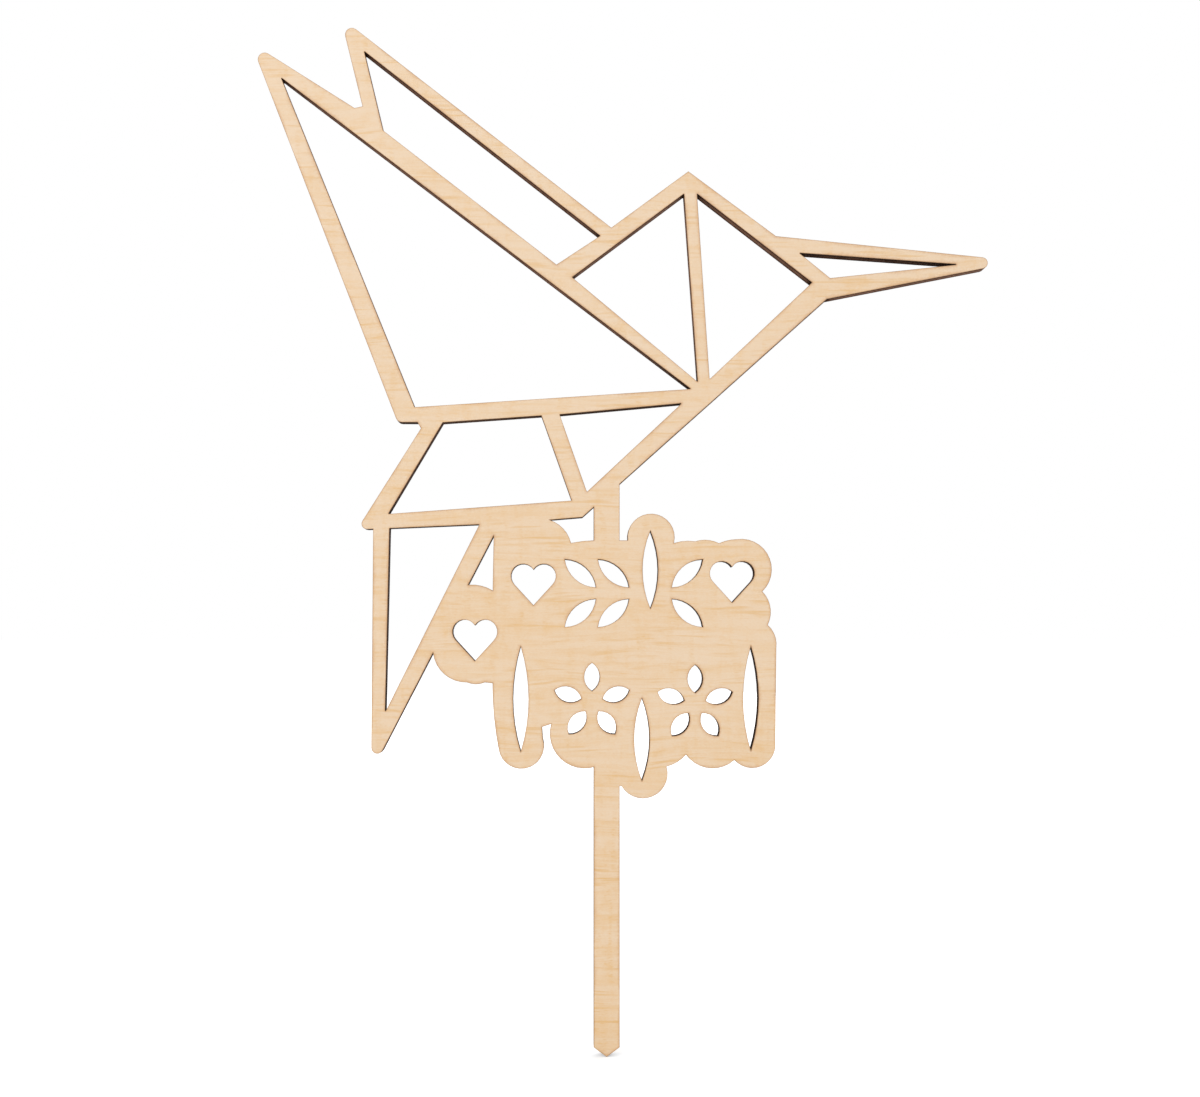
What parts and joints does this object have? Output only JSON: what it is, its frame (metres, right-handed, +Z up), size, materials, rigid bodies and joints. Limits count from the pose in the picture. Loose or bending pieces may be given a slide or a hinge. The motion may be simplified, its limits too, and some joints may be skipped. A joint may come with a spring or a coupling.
{
  "type": "cake topper",
  "caption": "Flat plywood cake topper: a folded-paper hummingbird drawn in open bars over a cloud-edged plaque pierced with hearts, blossoms and leaves, on a pointed stake.",
  "frame": {"origin": "the stake's pointed tip, halfway through the sheet", "axes": "+Z up along the stake, +X to the right of someone facing the front (the side that the bird's beak points to), -Y out of the front face"},
  "size_m": [0.15, 0.003, 0.2114],
  "materials": {
    "face_veneer": "matt, bare, pale birch, burnt dark on the cut edges",
    "core_veneer": "matt, laser-browned along the cut",
    "glue_line": "matt, charred resin"
  },
  "bodies": {
    "root": {"front_veneer": "face_veneer", "front_glue_line": "glue_line", "core_veneer": "core_veneer", "back_glue_line": "glue_line", "back_veneer": "face_veneer"}
  },
  "joints": []
}
